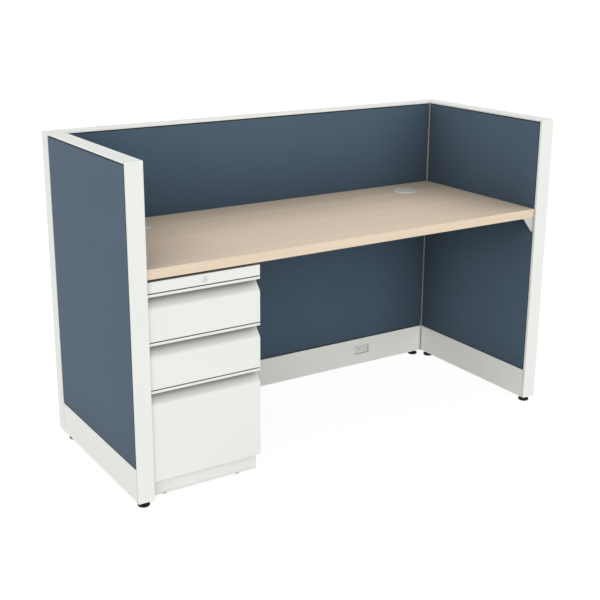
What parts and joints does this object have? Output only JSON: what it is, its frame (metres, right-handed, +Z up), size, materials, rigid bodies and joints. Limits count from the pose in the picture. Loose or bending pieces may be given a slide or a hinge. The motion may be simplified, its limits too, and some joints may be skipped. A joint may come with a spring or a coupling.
{
  "type": "cubicle workstation",
  "caption": "Office cubicle: fabric panels on slotted frames, laminate worksurface with grommets, raceway with a receptacle, and a locking pedestal with full-width drawer pulls.",
  "frame": {"origin": "on the floor, midway along the width and the depth", "axes": "+X to the seated user's right, +Y towards the back panel, +Z up"},
  "size_m": [1.632, 0.67, 1.0668],
  "materials": {
    "powder_white": "satin powder coat",
    "frame_steel": "mill",
    "fabric_slate": "plain woven panel fabric",
    "maple_laminate": "matt maple laminate",
    "maple_edge": "matt maple edge band",
    "black_plastic": "matt",
    "grey_plastic": "satin",
    "white_plastic": "satin",
    "zinc_steel": "bright zinc",
    "chrome_lock": "polished"
  },
  "bodies": {
    "workstation": {"back_frame": "frame_steel", "back_raceway_cover_inner": "powder_white", "back_raceway_cover_outer": "powder_white", "back_tile_inner": "fabric_slate", "back_tile_outer": "fabric_slate", "back_top_cap": "powder_white", "bracket_screws": "zinc_steel", "cabinet_slide_members": "zinc_steel", "duplex_receptacle": "white_plastic", "grommet_sleeves": "grey_plastic", "left_corner_cap": "powder_white", "left_corner_post": "powder_white", "left_end_trim": "powder_white", "left_wing_frame": "frame_steel", "left_wing_raceway_cover_inner": "powder_white", "left_wing_raceway_cover_outer": "powder_white", "left_wing_tile_inner": "fabric_slate", "left_wing_tile_outer": "fabric_slate", "left_wing_top_cap": "powder_white", "lock_cylinder": "chrome_lock", "panel_connectors": "zinc_steel", "pedestal_case": "powder_white", "pedestal_feet": "black_plastic", "pedestal_lock_rail": "powder_white", "power_block": "black_plastic", "right_corner_cap": "powder_white", "right_corner_post": "powder_white", "right_end_trim": "powder_white", "right_wing_frame": "frame_steel", "right_wing_raceway_cover_inner": "powder_white", "right_wing_raceway_cover_outer": "powder_white", "right_wing_tile_inner": "fabric_slate", "right_wing_tile_outer": "fabric_slate", "right_wing_top_cap": "powder_white", "worksurface": "maple_laminate", "worksurface_edge_band": "maple_edge", "worksurface_gusset": "powder_white", "worksurface_rear_angles": "powder_white"},
    "top_box_drawer": {"top_box_drawer_front": "powder_white", "top_box_drawer_box": "powder_white", "top_box_drawer_slide_members": "zinc_steel"},
    "top_box_slide_middle": {"top_box_middle_slide_members": "zinc_steel"},
    "middle_box_drawer": {"middle_box_drawer_front": "powder_white", "middle_box_drawer_box": "powder_white", "middle_box_drawer_slide_members": "zinc_steel"},
    "middle_box_slide_middle": {"middle_box_middle_slide_members": "zinc_steel"},
    "file_drawer": {"file_drawer_front": "powder_white", "file_drawer_box": "powder_white", "file_drawer_slide_members": "zinc_steel"},
    "file_slide_middle": {"file_middle_slide_members": "zinc_steel"},
    "lock_plug": {"lock_plug": "chrome_lock"},
    "lock_bar": {"lock_bar": "zinc_steel"},
    "left_grommet_cap": {"left_grommet_cap": "grey_plastic"},
    "right_grommet_cap": {"right_grommet_cap": "grey_plastic"},
    "left_wing_front_glide": {"left_wing_front_glide": "black_plastic"},
    "left_wing_rear_glide": {"left_wing_rear_glide": "black_plastic"},
    "right_wing_front_glide": {"right_wing_front_glide": "black_plastic"},
    "right_wing_rear_glide": {"right_wing_rear_glide": "black_plastic"},
    "back_left_glide": {"back_left_glide": "black_plastic"},
    "back_right_glide": {"back_right_glide": "black_plastic"}
  },
  "joints": [
    {"name": "top_box_drawer_slide", "type": "slide", "parent": "workstation", "child": "top_box_drawer", "axis": [0, -1, 0], "range_m": [0, 0.38]},
    {"name": "top_box_slide_middle_slide", "type": "slide", "parent": "workstation", "child": "top_box_slide_middle", "axis": [0, -1, 0], "range_m": [0, 0.19]},
    {"name": "middle_box_drawer_slide", "type": "slide", "parent": "workstation", "child": "middle_box_drawer", "axis": [0, -1, 0], "range_m": [0, 0.38]},
    {"name": "middle_box_slide_middle_slide", "type": "slide", "parent": "workstation", "child": "middle_box_slide_middle", "axis": [0, -1, 0], "range_m": [0, 0.19]},
    {"name": "file_drawer_slide", "type": "slide", "parent": "workstation", "child": "file_drawer", "axis": [0, -1, 0], "range_m": [0, 0.38]},
    {"name": "file_slide_middle_slide", "type": "slide", "parent": "workstation", "child": "file_slide_middle", "axis": [0, -1, 0], "range_m": [0, 0.19]},
    {"name": "lock_turn", "type": "hinge", "parent": "workstation", "child": "lock_plug", "pos_m": [-0.571, -0.323, 0.6912], "axis": [0, 1, 0], "range_deg": [0, 90]},
    {"name": "lock_bar_drop", "type": "slide", "parent": "workstation", "child": "lock_bar", "axis": [0, 0, -1], "range_m": [0, 0.008]},
    {"name": "left_grommet_cap_lift", "type": "slide", "parent": "workstation", "child": "left_grommet_cap", "axis": [0, 0, 1], "range_m": [0, 0.03]},
    {"name": "right_grommet_cap_lift", "type": "slide", "parent": "workstation", "child": "right_grommet_cap", "axis": [0, 0, 1], "range_m": [0, 0.03]},
    {"name": "left_wing_front_glide_turn", "type": "hinge", "parent": "workstation", "child": "left_wing_front_glide", "pos_m": [-0.789, -0.3086, 0], "axis": [0, 0, 1], "continuous": true},
    {"name": "left_wing_rear_glide_turn", "type": "hinge", "parent": "workstation", "child": "left_wing_rear_glide", "pos_m": [-0.789, 0.261, 0], "axis": [0, 0, 1], "continuous": true},
    {"name": "right_wing_front_glide_turn", "type": "hinge", "parent": "workstation", "child": "right_wing_front_glide", "pos_m": [0.789, -0.3086, 0], "axis": [0, 0, 1], "continuous": true},
    {"name": "right_wing_rear_glide_turn", "type": "hinge", "parent": "workstation", "child": "right_wing_rear_glide", "pos_m": [0.789, 0.261, 0], "axis": [0, 0, 1], "continuous": true},
    {"name": "back_left_glide_turn", "type": "hinge", "parent": "workstation", "child": "back_left_glide", "pos_m": [-0.742, 0.308, 0], "axis": [0, 0, 1], "continuous": true},
    {"name": "back_right_glide_turn", "type": "hinge", "parent": "workstation", "child": "back_right_glide", "pos_m": [0.742, 0.308, 0], "axis": [0, 0, 1], "continuous": true}
  ],
  "couplings": [
    {"joint": "top_box_slide_middle_slide", "follows": "top_box_drawer_slide", "ratio": 0.5},
    {"joint": "middle_box_slide_middle_slide", "follows": "middle_box_drawer_slide", "ratio": 0.5},
    {"joint": "file_slide_middle_slide", "follows": "file_drawer_slide", "ratio": 0.5},
    {"joint": "lock_turn", "follows": "lock_bar_drop", "rad_per_m": 196.35}
  ]
}
